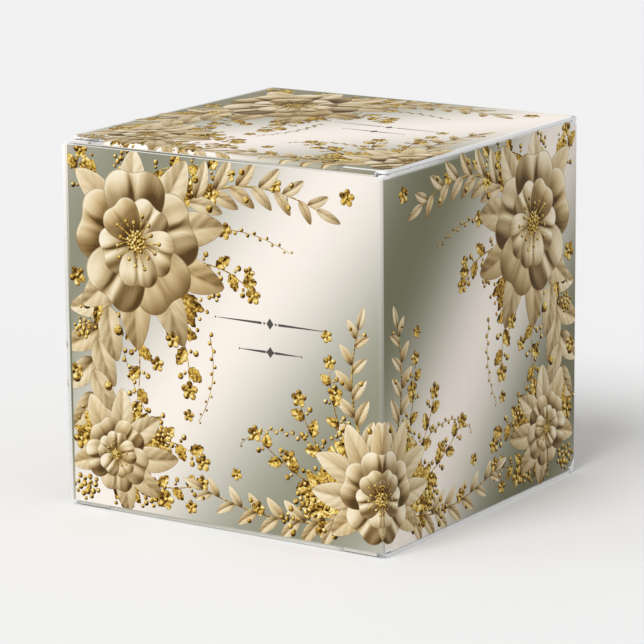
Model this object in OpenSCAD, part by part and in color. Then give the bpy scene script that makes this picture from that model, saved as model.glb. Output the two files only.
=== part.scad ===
// Favor box: a cube carton cut and creased from one paperboard blank.
// Four walls and a glue flap make the tube. A lid and a base, each with a tuck flap
// and two dust flaps, close its ends. The front faces -Y and the lid hinges at +Y.

/* [Box] */
// Outer width, from the left panel to the right panel
box_w = 50.8; // [40:0.2:90]
// Outer depth, from the front panel to the back panel
box_d = 50.8; // [40:0.2:90]
// Outer height, from the base to the top of the lid
box_h = 50.8; // [35:0.2:120]

/* [Board] */
// Thickness of the paperboard
board_t = 0.46; // [0.3:0.02:0.5]
// Outer radius of a fold, which is also the radius of the bead inside a crease
fold_r = 0.55; // [0.5:0.01:0.8]

/* [Fits] */
// Gap between the lid or base and the dust flaps behind it
layer_gap = 0.1; // [0.05:0.01:0.4]
// Gap between a flap's edge and the crease bead that it turns on
fold_gap = 0.08; // [0.05:0.01:0.2]
// Gap between the front panel and a tuck flap
tuck_gap = 0.15; // [0.1:0.01:0.5]
// Gap between a tuck flap's shoulder and the slit in the lid or base
slit_gap = 0.12; // [0.08:0.01:0.4]
// Gap between the end of a crease bead and the fold or bead that it points at
crease_end_gap = 0.1; // [0.05:0.01:0.5]
// Gap between a tuck flap and the dust flaps behind it
dust_gap = 0.4; // [0.3:0.05:1]

/* [Tuck flaps] */
// Depth of a tuck flap, from its crease to its free edge
tuck_depth = 10; // [6:0.5:12]
// Inset of a tuck flap's ends from the sides of the box
tuck_inset = 1.4; // [1.2:0.1:3]
// Radius of a tuck flap's free corners
tuck_corner_r = 5.5; // [1:0.5:6]
// Lean of a tuck flap away from the front panel, in degrees
tuck_lean = 4; // [3:0.5:8]

/* [Slit locks] */
// Length of a slit lock, from the side of the box
slit_len = 6.5; // [4:0.5:10]
// Length of the hook that ends a slit
hook_len = 1; // [0.5:0.1:2]
// Width of the hook that ends a slit
hook_w = 0.24; // [0.1:0.02:0.5]
// Height of a tuck flap's shoulder above its crease
shoulder_rise = 0.42; // [0.1:0.02:0.45]
// Depth to which the lid's left shoulder is cut away below its crease
left_shoulder_drop = 0.1; // [0:0.1:1.5]
// Setback of the lid's left front corner behind its slit
left_corner_setback = 1.4; // [0:0.1:3]

/* [Lid and base] */
// Inset of the lid's and base's cut side edges from the sides of the box
edge_inset = 0.06; // [0:0.02:0.5]
// Radius of the lid's and base's corners at the tuck end
front_corner_r = 0.5; // [0.2:0.1:1]
// Radius of the lid's and base's corners at the hinge end
back_corner_r = 0.5; // [0.2:0.1:2]
// Drop from the lid's top face to the front panel's cut edge
lip_drop = 0.8; // [0.6:0.05:2]
// Shortfall of the hinge creases at each end, inside the lid's cut side edges
hinge_relief = 0.2; // [0.1:0.05:1]

/* [Dust flaps] */
// Gap between the two dust flaps' free edges
dust_split = 6; // [3:0.5:20]
// Length of the shoulder that a dust flap locks behind the slit with, from its crease
dust_lock_len = 3; // [1.5:0.5:4]
// Setback of a dust flap's hinge side from the hinge crease
dust_back_gap = 1.4; // [1.2:0.1:4]
// Length of a dust flap over which its hinge side is cut at 45 degrees
dust_bevel = 8; // [3:0.5:10]
// Taper of the rest of that side, in degrees
dust_taper = 15; // [0:1:20]
// Taper of a dust flap's tuck side past its lock shoulder, in degrees
dust_relief = 5; // [0:1:10]
// Radius of a dust flap's free corners
dust_corner_r = 2.5; // [0.5:0.5:4]

/* [Glue flap] */
// Width of the glue flap, from its crease to its free edge
glue_flap_w = 11; // [6:0.5:16]
// Shortfall of the glue flap's crease at each end of the box
glue_flap_gap = 2.3; // [1.8:0.1:5]
// Taper of the glue flap's ends, in degrees
glue_flap_taper = 20; // [0:1:30]
// Radius of the glue flap's free corners
glue_corner_r = 1.5; // [0.5:0.5:3]
// Thickness of the glue film
glue_t = 0.05; // [0.02:0.01:0.1]
// Margin of bare board around the glue film
glue_margin = 2; // [1:0.5:3]
// Gap between the left panel's cut edge and the back of the box
seam_gap = 0.25; // [0.1:0.05:0.5]

/* [Hidden] */
$fn = 64;
// Run-past of every cut beyond the surface that it opens
overrun = 0.2;

champagne = [0.93, 0.89, 0.83];
sage = [0.62, 0.62, 0.54];
bare_board = [0.96, 0.96, 0.95];
glue_tint = [0.90, 0.88, 0.78];

half_w = box_w / 2;
half_d = box_d / 2;
// Inner radius of a fold, which the board's thickness leaves
inner_r = fold_r - board_t;
// Clear radius that a turning flap's edge keeps around its bead
clear_r = fold_r + fold_gap;

// Fold axes: the vertical corner folds, the lid's hinge, its tuck crease and its dust creases
corner_x = half_w - fold_r;
corner_y = half_d - fold_r;
hinge_z = box_h - fold_r;
tuck_face_y = board_t + tuck_gap - half_d;
tuck_y = tuck_face_y + fold_r;
dust_z = box_h - board_t - layer_gap - fold_r;

// Slit locks, and the edges of the lid that stand behind the tuck flap
slit_x = half_w - slit_len;
slit_edge_y = tuck_face_y + board_t + slit_gap;
lid_front_y = tuck_y + clear_r;
lid_back_y = corner_y - clear_r;
edge_x = half_w - edge_inset;
hinge_end_x = edge_x - hinge_relief;

// Top of the side walls, under the dust flaps' creases and the ends of the lid's hinge
wall_top = min(dust_z, box_h - 2 * fold_r - crease_end_gap);
// Ends of the dust flaps' creases, at the front corner folds and at the hinge
crease_front_y = crease_end_gap - corner_y;
crease_back_y = corner_y - fold_r - crease_end_gap;

// Dust flap, measured inwards from its crease
dust_len = corner_x - dust_split / 2;
dust_lock_y = tuck_face_y + board_t + dust_gap;
dust_front_y = tuck_y + fold_r + dust_gap;
dust_back_y = corner_y - dust_back_gap;

// Glue flap, against the left panel's inner face
glue_x = board_t + glue_t - half_w;
glue_axis_x = glue_x + fold_r;

// Cuts a true arc of radius r from the corner at b of an outline that runs a, b, c
module corner_cut(a, b, c, r) {
    to_a = (a - b) / norm(a - b);
    to_c = (c - b) / norm(c - b);
    half_angle = acos(to_a * to_c) / 2;
    reach = r / tan(half_angle);
    centre = b + (to_a + to_c) / norm(to_a + to_c) * r / sin(half_angle);
    past = (r + overrun) / r;
    rim = [b + to_a * reach, b, b + to_c * reach];
    difference() {
        polygon(concat([centre], [for (p = rim) centre + (p - centre) * past]));
        translate(centre) circle(r);
    }
}

// An outline whose corners are rounded to the radii listed beside its points
module rounded_outline(points, radii) {
    count = len(points);
    difference() {
        polygon(points);
        for (i = [0 : count - 1])
            if (radii[i] > 0)
                corner_cut(points[(i + count - 1) % count], points[i], points[(i + 1) % count], radii[i]);
    }
}

// A quarter of the folded board's section, about the fold's axis
module fold_section(turn) {
    rotate(turn) intersection() {
        difference() {
            circle(fold_r);
            circle(inner_r);
        }
        square(fold_r);
    }
}

// Mirrors a part of the lid's end of the box to the base's end
module at_base() {
    translate([0, 0, box_h]) mirror([0, 0, 1]) children();
}

// Mirrors a part of the right side of the box to its left side
module at_left() {
    mirror([1, 0, 0]) children();
}

// Bead of a crease that runs along X between two ends
module bead_x(from_x, to_x) {
    translate([from_x, 0, 0]) rotate([0, 90, 0]) cylinder(h = to_x - from_x, r = fold_r);
}

// Bead of a crease that runs along Y between two ends
module bead_y(from_y, to_y) {
    translate([0, to_y, 0]) rotate([90, 0, 0]) cylinder(h = to_y - from_y, r = fold_r);
}

// Front wall with both of its corner folds. Its top and bottom edges are cut, not creased.
module front_panel() {
    color(champagne) translate([0, 0, lip_drop]) linear_extrude(box_h - 2 * lip_drop) {
        translate([-corner_x, -half_d]) square([2 * corner_x, board_t]);
        translate([corner_x, -corner_y]) fold_section(-90);
        translate([-corner_x, -corner_y]) fold_section(180);
    }
}

// Side wall between two depths, with the dust flaps' creases on its ends
module side_wall(to_y) {
    translate([half_w - board_t, -corner_y, box_h - wall_top])
        cube([board_t, to_y + corner_y, 2 * wall_top - box_h]);
    for (z = [dust_z, box_h - dust_z])
        translate([corner_x, 0, z]) bead_y(crease_front_y, crease_back_y);
}

module right_panel() {
    color(sage) side_wall(corner_y);
}

// The left wall runs on to the seam, where it covers the glue flap's fold
module left_panel() {
    color(sage) at_left() side_wall(half_d - seam_gap);
}

// Back wall with its corner fold, and the creases that the lid and the base turn on
module back_panel() {
    color(champagne) {
        translate([glue_axis_x, half_d - board_t, fold_r])
            cube([corner_x - glue_axis_x, board_t, box_h - 2 * fold_r]);
        translate([corner_x, corner_y, box_h - wall_top])
            linear_extrude(2 * wall_top - box_h) fold_section(0);
        for (z = [hinge_z, fold_r])
            translate([0, corner_y, z]) bead_x(-hinge_end_x, hinge_end_x);
    }
}

// Flap folded from the back wall and stuck inside the left wall, with tapered ends
module glue_flap() {
    taper = glue_flap_w * tan(glue_flap_taper);
    color(bare_board) {
        translate([glue_x, corner_y, 0]) rotate([90, 0, 90]) linear_extrude(board_t)
            rounded_outline(
                [
                    [0, glue_flap_gap],
                    [0, box_h - glue_flap_gap],
                    [-glue_flap_w, box_h - glue_flap_gap - taper],
                    [-glue_flap_w, glue_flap_gap + taper]
                ],
                [0, 0, glue_corner_r, glue_corner_r]
            );
        translate([glue_axis_x, corner_y, glue_flap_gap])
            linear_extrude(box_h - 2 * glue_flap_gap) fold_section(90);
    }
}

// Film of glue between the glue flap and the left wall
module glue_line() {
    end_z = glue_flap_gap + glue_flap_w * tan(glue_flap_taper) + glue_margin;
    color(glue_tint)
        translate([glue_x - glue_t, corner_y + glue_margin - glue_flap_w, end_z])
            cube([glue_t, glue_flap_w - 2 * glue_margin, box_h - 2 * end_z]);
}

// Outline of the lid or base, with a slit and a hook at each end of its front edge
module closure_outline(left_setback) {
    difference() {
        rounded_outline(
            [
                [-edge_x, lid_back_y],
                [-edge_x, slit_edge_y + left_setback],
                [-slit_x, slit_edge_y + left_setback],
                [-slit_x, lid_front_y],
                [slit_x, lid_front_y],
                [slit_x, slit_edge_y],
                [edge_x, slit_edge_y],
                [edge_x, lid_back_y]
            ],
            [back_corner_r, front_corner_r, 0, 0, 0, 0, front_corner_r, back_corner_r]
        );
        for (side = [-1, 1])
            translate([side * slit_x, lid_front_y]) rotate(90 + side * 45)
                translate([-overrun, -hook_w / 2]) square([hook_len + overrun, hook_w]);
    }
}

module closure_panel(left_setback) {
    translate([0, 0, box_h - board_t]) linear_extrude(board_t) closure_outline(left_setback);
}

module lid_panel() {
    color(champagne) closure_panel(left_corner_setback);
}

module base_panel() {
    color(sage) at_base() closure_panel(0);
}

// Face of a tuck flap, with its crease on the X axis and its shoulders above it
module tuck_outline(left_rise) {
    end_x = half_w - tuck_inset;
    rounded_outline(
        [
            [-end_x, left_rise],
            [-slit_x, left_rise],
            [-slit_x, 0],
            [slit_x, 0],
            [slit_x, shoulder_rise],
            [end_x, shoulder_rise],
            [end_x, -tuck_depth],
            [-end_x, -tuck_depth]
        ],
        [0, 0, 0, 0, 0, 0, tuck_corner_r, tuck_corner_r]
    );
}

// Tuck flap on its crease bead, leaning into the box behind the front panel
module tuck_flap(left_rise) {
    translate([0, tuck_y, hinge_z]) rotate([tuck_lean, 0, 0]) {
        bead_x(slit_gap - slit_x, slit_x - slit_gap);
        translate([0, board_t - fold_r, 0]) rotate([90, 0, 0])
            linear_extrude(board_t) tuck_outline(left_rise);
    }
}

module lid_tuck_flap() {
    color(champagne) tuck_flap(-left_shoulder_drop);
}

module base_tuck_flap() {
    color(sage) at_base() tuck_flap(shoulder_rise);
}

// Dust flap of the right side: a lock shoulder at the tuck end, a bevel at the hinge end
module dust_flap() {
    bevel_y = dust_back_y - (dust_bevel - clear_r);
    free_back_y = bevel_y - (dust_len - dust_bevel) * tan(dust_taper);
    free_front_y = dust_front_y + (dust_len - dust_lock_len) * tan(dust_relief);
    translate([corner_x, 0, dust_z + inner_r]) at_left() linear_extrude(board_t)
        rounded_outline(
            [
                [clear_r, dust_back_y],
                [dust_bevel, bevel_y],
                [dust_len, free_back_y],
                [dust_len, free_front_y],
                [dust_lock_len, dust_front_y],
                [dust_lock_len, dust_lock_y],
                [clear_r, dust_lock_y]
            ],
            [0, 0, dust_corner_r, dust_corner_r, 0, 0, 0]
        );
}

module lid_dust_flap_left() {
    color(bare_board) at_left() dust_flap();
}

module lid_dust_flap_right() {
    color(bare_board) dust_flap();
}

module base_dust_flap_left() {
    color(bare_board) at_base() at_left() dust_flap();
}

module base_dust_flap_right() {
    color(bare_board) at_base() dust_flap();
}

front_panel();
right_panel();
back_panel();
left_panel();
glue_flap();
glue_line();
lid_panel();
lid_tuck_flap();
lid_dust_flap_left();
lid_dust_flap_right();
base_panel();
base_tuck_flap();
base_dust_flap_left();
base_dust_flap_right();
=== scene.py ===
"""Looks of the favor box: board, print, fold skins, a generic printed motif, floor, light and camera."""
import copy
import math
from collections import namedtuple
from functools import partialmethod

import bmesh
import bpy
import numpy as np
from mathutils import Matrix, Vector


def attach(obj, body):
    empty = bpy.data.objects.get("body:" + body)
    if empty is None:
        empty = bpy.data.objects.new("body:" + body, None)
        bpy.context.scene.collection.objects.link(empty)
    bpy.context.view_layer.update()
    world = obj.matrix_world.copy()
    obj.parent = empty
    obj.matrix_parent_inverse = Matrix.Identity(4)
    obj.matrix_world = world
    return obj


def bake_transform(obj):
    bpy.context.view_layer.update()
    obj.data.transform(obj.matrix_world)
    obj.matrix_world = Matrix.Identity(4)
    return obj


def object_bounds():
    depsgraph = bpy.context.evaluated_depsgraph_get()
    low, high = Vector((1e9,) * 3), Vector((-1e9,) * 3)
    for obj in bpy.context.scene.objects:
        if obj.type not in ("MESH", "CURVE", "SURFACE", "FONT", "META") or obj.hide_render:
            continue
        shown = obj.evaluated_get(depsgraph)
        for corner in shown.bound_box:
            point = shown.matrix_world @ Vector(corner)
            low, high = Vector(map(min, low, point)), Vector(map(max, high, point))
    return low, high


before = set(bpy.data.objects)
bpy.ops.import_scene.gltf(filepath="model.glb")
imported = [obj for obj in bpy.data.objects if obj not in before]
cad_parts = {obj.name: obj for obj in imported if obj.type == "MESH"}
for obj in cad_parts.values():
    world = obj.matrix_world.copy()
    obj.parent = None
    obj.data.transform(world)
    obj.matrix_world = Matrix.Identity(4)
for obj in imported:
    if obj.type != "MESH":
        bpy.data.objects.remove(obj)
cad_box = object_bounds()

# Sizes, in millimetres
MM = 0.001
HALF = cad_box[1].x / MM
SIDE = 2 * HALF
TOP = cad_box[1].z / MM
FOLD_R = 0.55
FOLD_AXIS = HALF - FOLD_R
LID_HINGE_Z = TOP - FOLD_R
TUCK_Y = -24.24
TUCK_FACE_Y = TUCK_Y - FOLD_R
LID_PLATE_FRONT = -23.61
LID_PLATE_BACK = 24.22
DUST_Z = 49.69
DUST_FRONT = -23.29
DUST_BACK = 23.45
BEAD_END_X = 18.78
HINGE_END = 25.14
PANEL_LOW, PANEL_HIGH = 0.8, 50.0
HALF_ARC = FOLD_R * math.pi / 4
SKIN_LIFT = 0.007
SKIN_RIM = 0.0012
SKIN_SUNK = 0.003
INK_LIFT = 0.010
INK_STEP = 0.0055
INK_SHUFFLE = 0.0009
INK_SUNK = 0.004
FOLD_SQUARENESS = 7
DUST_BULGE = 0.08
SKIN_FLAT = (-0.98, -0.8, -0.63, -0.42, -0.2)
SKIN_REACH, TUCK_SKIN_REACH = 0.98, 0.9
SKIN_RIM_WIDTH = 0.3
SKIN_ACROSS, SKIN_ROUND = 33, 13
HINGE_BLEND, TUCK_BLEND = 0.59, 0.5


# Node helpers
def linear(r, g, b):
    """A colour written as 0 to 255 in sRGB, as Blender's linear RGBA."""
    out = []
    for c in (r, g, b):
        c /= 255
        out.append(c / 12.92 if c <= 0.04045 else ((c + 0.055) / 1.055) ** 2.4)
    return (*out, 1.0)


class Shader:
    """A material with a Principled shader, and short calls that add nodes to it."""

    def __init__(self, name):
        self.material = bpy.data.materials.new(name)
        self.material.use_nodes = True
        self.tree = self.material.node_tree
        self.tree.nodes.clear()
        self.out = self.add("OutputMaterial")
        self.principled = self.add("BsdfPrincipled")
        self.tree.links.new(self.principled.outputs[0], self.out.inputs[0])

    def add(self, kind, inputs=None, **settings):
        node = self.tree.nodes.new("ShaderNode" + kind)
        for key, value in settings.items():
            setattr(node, key, value)
        for key, value in (inputs or {}).items():
            self.feed(node.inputs[key], value)
        return node

    def feed(self, socket, value):
        if isinstance(value, bpy.types.NodeSocket):
            self.tree.links.new(value, socket)
        else:
            socket.default_value = value

    def calc(self, operation, *values, clamp=False):
        node = self.add("Math", dict(enumerate(values)), operation=operation, use_clamp=clamp)
        return node.outputs[0]

    times = partialmethod(calc, "MULTIPLY")
    minus = partialmethod(calc, "SUBTRACT")
    plus = partialmethod(calc, "ADD")
    mul_add = partialmethod(calc, "MULTIPLY_ADD")
    larger = partialmethod(calc, "MAXIMUM")
    absolute = partialmethod(calc, "ABSOLUTE")
    above = partialmethod(calc, "GREATER_THAN")
    below = partialmethod(calc, "LESS_THAN")

    def smooth(self, value, low, high, to_low=0.0, to_high=1.0):
        limits = {0: value, 1: low, 2: high, 3: to_low, 4: to_high}
        return self.add("MapRange", limits, interpolation_type="SMOOTHSTEP").outputs[0]

    def mix(self, factor, a, b):
        node = self.add("Mix", data_type="RGBA")
        self.feed(node.inputs[0], factor)
        self.feed(node.inputs[6], a)
        self.feed(node.inputs[7], b)
        return node.outputs[2]

    def ramp(self, value, stops, span=1.0):
        node = self.add("ValToRGB", {0: value if span == 1.0 else self.calc("DIVIDE", value, span)})
        elements = node.color_ramp.elements
        while len(elements) < len(stops):
            elements.new(0.5)
        for element, (place, colour) in zip(elements, stops):
            element.position = place / span
            element.color = linear(*colour)
        return node.outputs[0]

    def noise(self, vector, scale, detail=2.0, roughness=0.5):
        settings = {"Vector": vector, "Scale": scale, "Detail": detail, "Roughness": roughness}
        return self.add("TexNoise", settings).outputs[0]

    def split(self, vector):
        return self.add("SeparateXYZ", {0: vector}).outputs

    def join(self, x, y, z):
        return self.add("CombineXYZ", {0: x, 1: y, 2: z}).outputs[0]

    def scaled(self, vector, scale):
        return self.add("VectorMath", {0: vector, "Scale": scale}, operation="SCALE").outputs[0]

    def place(self, attribute=None):
        """The point at rest, in millimetres: object coordinates, or those stored on a piece that bends."""
        if attribute is None:
            return self.scaled(self.add("TexCoord").outputs["Object"], 1 / MM)
        return self.add("Attribute", attribute_name=attribute).outputs["Vector"]

    def bump(self, height, strength, distance_mm):
        node = self.add("Bump", {"Height": height, "Strength": strength, "Distance": distance_mm * MM})
        return node.outputs["Normal"]

    def finish(self, colour, roughness, normal, **sockets):
        self.feed(self.principled.inputs["Base Color"], colour)
        self.feed(self.principled.inputs["Roughness"], roughness)
        self.feed(self.principled.inputs["Normal"], normal)
        for name, value in sockets.items():
            self.principled.inputs[name.replace("_", " ")].default_value = value
        return self.material


# Board and print
# The gradient of the print is a wave between sage and champagne, by way of a grey stone tone, at an angle in
# degrees across each face. It turns at a few places, in shares of the face's side from its upper left corner.
SAGE, STONE, CHAMPAGNE = 0, 1, 2
Wave = namedtuple("Wave", "angle tones turns")
FRONT_WAVE = Wave(
    39.5, ((134, 134, 115), (184, 182, 171), (235, 227, 218)),
    ((-0.30, CHAMPAGNE), (0.24, SAGE), (0.70, CHAMPAGNE), (1.18, SAGE), (1.65, CHAMPAGNE)),
)
SIDE_WAVE = Wave(
    40.0, ((113, 113, 88), (177, 174, 160), (241, 231, 221)),
    ((-0.31, CHAMPAGNE), (0.25, SAGE), (0.71, CHAMPAGNE), (1.17, SAGE), (1.21, SAGE), (1.61, CHAMPAGNE)),
)
LID_WAVE = Wave(
    38.0, ((139, 136, 114), (194, 191, 178), (249, 239, 230)),
    ((-0.39, CHAMPAGNE), (0.16, SAGE), (0.28, SAGE), (0.83, CHAMPAGNE), (1.42, SAGE)),
)
GRADIENT_SPAN = 1.42
GRADIENT_STOPS = 31
# Painted light: the base's print turns pale towards its front fold, which lies in shade under the front
# panel's lower edge.
BASE_PAINTED_LIGHT = 0.7
BASE_LIGHT_COLOUR = (240, 239, 230)
LEFT_OVERLAP = 1.17
FRONT_OVERLAP = 0.45
BARE_EDGE = 0.36
BARE_DEPTH = 0.5
BARE_CORNER, BARE_CORNER_SLOPE = 2.25, 0.85
BASE_LIGHT_ENDS = (1.0, 2.4)
BARE_ROUGHNESS = 0.78
COATING_WHITE = (246, 246, 245)
BOARD_WHITE = (246, 246, 246)
BOARD_SHADE = (236, 235, 235)
# Where the folds turn whiter: opened coating, and a painted highlight where a rounded fold catches the light.
# A pair is the two distances from an edge between which it changes.
RIDGE, RIDGE_WHITE = (0.62, 0.34), 0.12
LEFT_FOLD_BAND, LEFT_FOLD_LIGHT = (0.74, 0.90), 0.80
NEAR_SIDE, LIP = (0.95, 0.10), (0.68, 0.56)
# Painted light: the pale band under the side panels' top creases, and how it narrows towards the back.
CREASE_LIGHT_DEPTH, CREASE_LIGHT_FADE = (1.30, 0.85), (8.0, 24.0)


def wave_stops(wave):
    """Ramp stops along a face's gradient, whose tone follows half a cosine from each turn to the next."""
    stops = []
    for place in np.linspace(0, GRADIENT_SPAN, GRADIENT_STOPS):
        for (start, tone), (end, next_tone) in zip(wave.turns, wave.turns[1:]):
            if start <= place <= end:
                eased = (1 - math.cos(math.pi * (place - start) / (end - start))) / 2
                between = tone + (next_tone - tone) * eased
        tone_here = [np.interp(between, (SAGE, STONE, CHAMPAGNE), channel) for channel in zip(*wave.tones)]
        stops.append((place, tone_here))
    return stops


def face_tone(s, across, up, wave):
    """The printed gradient of one face, which runs at an angle from its upper left to its lower right."""
    a = math.radians(wave.angle)
    along = s.mul_add(across, math.cos(a), s.mul_add(up, -math.sin(a), math.sin(a)))
    return s.ramp(along, wave_stops(wave), GRADIENT_SPAN)


def print_colour(s, at):
    """The print on whichever of the box's six faces the point belongs to."""
    x, y, z = s.split(at)
    z = s.minus(z, TOP / 2)
    ax, ay, az = (s.absolute(c) for c in (x, y, z))
    up = s.mul_add(z, 1 / TOP, 0.5)
    turn_y = s.times(s.calc("SIGN", y), -1 / SIDE)
    front = face_tone(s, s.mul_add(x, turn_y, 0.5), up, FRONT_WAVE)
    turn_x = s.times(s.calc("SIGN", x), 1 / SIDE)
    side = face_tone(s, s.mul_add(y, turn_x, 0.5), up, SIDE_WAVE)
    turn_z = s.times(s.calc("SIGN", z), 1 / SIDE)
    lid = face_tone(s, s.mul_add(x, 1 / SIDE, 0.5), s.mul_add(y, turn_z, 0.5), LID_WAVE)
    # Painted light: the base's print pales towards its front fold, which lies in shade under the front panel.
    painted_light = s.smooth(y, BASE_LIGHT_ENDS[0] - HALF, BASE_LIGHT_ENDS[1] - HALF, BASE_PAINTED_LIGHT, 0.0)
    base_lit = s.times(s.below(z, 0.0), painted_light)
    lid = s.mix(base_lit, lid, linear(*BASE_LIGHT_COLOUR))
    on_left = s.times(s.below(s.plus(x, y), -HALF), LEFT_OVERLAP)
    on_right = s.times(s.above(s.minus(x, y), HALF), FRONT_OVERLAP)
    overlap = s.minus(on_left, on_right)
    walls = s.mix(s.above(s.plus(ax, overlap), ay), front, side)
    return s.mix(s.above(az, s.larger(ax, ay)), walls, lid)


def unprinted_margin(s, at):
    """Where the right panel's print stops short of its back edge, and of its lower back corner, 0 or 1."""
    x, y, z = s.split(at)
    past_edge = s.above(y, HALF - BARE_EDGE)
    leaning = s.minus(y, s.times(z, BARE_CORNER_SLOPE))
    past_corner = s.above(leaning, HALF - BARE_CORNER)
    on_side = s.above(x, HALF - BARE_DEPTH)
    return s.times(s.larger(past_edge, past_corner), on_side)


def fold_whitening(s, at):
    """How much whiter the upright folds and the side panels' creases are, 0 to 1: opened coating, with
    painted highlight.
    """
    x, y, z = s.split(at)
    up = s.absolute(s.minus(z, TOP / 2))
    ridge = s.plus(s.absolute(x), s.absolute(y))
    # The upright folds are whiter: opened coating, with a painted highlight on their ridges.
    upright = s.smooth(ridge, SIDE - RIDGE[0], SIDE - RIDGE[1], 0.0, RIDGE_WHITE)
    # The front left fold is much whiter: opened coating, with a painted highlight where it catches the light
    # from the left.
    left_fold = s.smooth(x, LEFT_FOLD_BAND[0] - HALF, LEFT_FOLD_BAND[1] - HALF, LEFT_FOLD_LIGHT, 0.0)
    left_light = s.times(left_fold, s.below(y, FOLD_R - HALF))
    upright = s.larger(upright, left_light)
    near_x = s.smooth(s.absolute(x), HALF - NEAR_SIDE[0], HALF - NEAR_SIDE[1])
    lip = s.smooth(up, TOP / 2 - LIP[0], TOP / 2 - LIP[1])
    # Painted light: a pale band under the side panels' top creases, where the rounded crease catches light
    # from above; it narrows towards the back.
    to_the_back = s.smooth(y, CREASE_LIGHT_FADE[0] - HALF, CREASE_LIGHT_FADE[1] - HALF, 1.0, 0.0)
    crease_light = s.times(s.smooth(z, TOP - CREASE_LIGHT_DEPTH[0], TOP - CREASE_LIGHT_DEPTH[1]), to_the_back)
    return s.larger(upright, s.times(s.larger(lip, crease_light), near_x), clamp=True)


def distance_inside(s, at):
    """Distance from the outside of the box, which is round at its folds, less than 0 inside."""
    x, y, z = s.split(at)
    z = s.minus(z, TOP / 2)
    limits = (FOLD_AXIS, FOLD_AXIS, TOP / 2 - FOLD_R)
    over = [s.minus(s.absolute(c), limit) for c, limit in zip((x, y, z), limits)]
    past = [s.larger(c, 0.0) for c in over]
    length = s.add("VectorMath", {0: s.join(*past)}, operation="LENGTH").outputs["Value"]
    within = s.calc("MINIMUM", s.larger(over[0], s.larger(over[1], over[2])), 0.0)
    return s.minus(s.plus(length, within), FOLD_R)


def board_colour(s, at):
    """White folding board: fine fibres and a faint cloudiness."""
    fibres = s.noise(s.add("Mapping", {"Vector": at, "Scale": (1.0, 2.6, 2.2)}).outputs[0], 3.2, 4.0, 0.62)
    clouds = s.noise(at, 0.22, 2.0)
    tone = s.plus(s.times(fibres, 0.65), s.times(clouds, 0.35))
    return s.mix(s.smooth(tone, 0.34, 0.66), linear(*BOARD_SHADE), linear(*BOARD_WHITE)), fibres


def coating(s, at):
    """Height of the coated print's slight unevenness, and its roughness."""
    peel = s.noise(at, 5.5, 3.0, 0.55)
    waves = s.noise(at, 0.09, 1.0)
    height = s.plus(s.times(peel, 0.35), s.times(waves, 0.9))
    return height, s.mul_add(s.noise(at, 1.3, 3.0), 0.16, 0.42)


def printed_board(name, attribute=None, mask="outside", bead_from=None):
    """Coated print on the board's outer side, white board on cut edges, inside and on crease beads.

    The beads start at bead_from from the box's middle height: the folds' own print lies over them.
    """
    s = Shader(name)
    at = s.place(attribute)
    ink = print_colour(s, at)
    grain = s.noise(at, 9.0, 2.0, 0.7)
    mottle = s.noise(at, 0.35, 2.0)
    shade = s.plus(s.mul_add(grain, 0.035, -0.0175), s.mul_add(mottle, 0.03, 0.985))
    shaded = {0: 1.0, 6: ink, 7: s.join(shade, shade, shade)}
    ink = s.add("Mix", shaded, data_type="RGBA", blend_type="MULTIPLY").outputs[2]
    scuff = s.smooth(s.noise(at, 4.2, 4.0, 0.7), 0.36, 0.62, 0.78, 1.0)
    # White at the folds, broken up by scuffs: opened coating and painted highlight.
    crease = s.times(s.times(fold_whitening(s, at), scuff), 0.86)
    crease = s.larger(crease, unprinted_margin(s, at))
    ink = s.mix(crease, ink, linear(*COATING_WHITE))
    board, fibres = board_colour(s, at)
    peel, sheen = coating(s, at)
    if mask == "outside":
        chipped = s.mul_add(s.noise(at, 6.0, 3.0, 0.7), 0.05, -0.055)
        printed = s.above(distance_inside(s, at), chipped)
        if bead_from is not None:
            from_middle = s.absolute(s.minus(s.split(at)[2], TOP / 2))
            printed = s.times(printed, s.below(from_middle, bead_from))
    elif mask == "all":
        printed = 1.0
    else:
        normal = s.add("TexCoord").outputs["Normal"]
        facing = s.add("VectorMath", {0: normal, 1: mask}, operation="DOT_PRODUCT").outputs["Value"]
        printed = s.above(facing, 0.5)
    colour = s.mix(printed, board, ink)
    if mask == "all":
        roughness, height = sheen, peel
    else:
        smoother = s.minus(sheen, BARE_ROUGHNESS)
        roughness = s.plus(s.times(printed, smoother), BARE_ROUGHNESS)
        height = s.plus(s.times(printed, s.minus(peel, fibres)), fibres)
    return s.finish(colour, roughness, s.bump(height, 0.16, 0.03), Specular_IOR_Level=0.12)


def bare_board(name, attribute=None):
    s = Shader(name)
    at = s.place(attribute)
    colour, fibres = board_colour(s, at)
    rough = s.mul_add(fibres, 0.12, 0.72)
    return s.finish(colour, rough, s.bump(fibres, 0.22, 0.04), Specular_IOR_Level=0.3)


def dried_glue(name):
    s = Shader(name)
    at = s.place()
    strings = s.noise(s.add("Mapping", {"Vector": at, "Scale": (1, 1, 0.25)}).outputs[0], 1.1, 3.0)
    colour = s.mix(s.smooth(strings, 0.35, 0.65), linear(206, 199, 178), linear(232, 228, 214))
    return s.finish(colour, s.mul_add(strings, 0.3, 0.25), s.bump(strings, 0.4, 0.05), Specular_IOR_Level=0.5)


PRINT = printed_board("printed_board")
BACK_PRINT = printed_board("printed_back", bead_from=TOP / 2 - FOLD_R)
SIDE_PRINT = printed_board("printed_side", bead_from=DUST_Z - TOP / 2)
LID_PRINT = printed_board("printed_lid", mask=(0.0, 0.0, 1.0))
BASE_PRINT = printed_board("printed_base", mask=(0.0, 0.0, -1.0))
PRINT_SKIN = printed_board("printed_fold", "rest", mask="all")
TUCK_TOP = printed_board("printed_tuck_lid", mask=(0.0, -0.707, 0.707))
TUCK_BASE = printed_board("printed_tuck_base", mask=(0.0, -0.707, -0.707))
BARE = bare_board("bare_board")
BARE_SKIN = bare_board("bare_fold", "rest")
GLUE = dried_glue("dried_glue")

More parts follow.
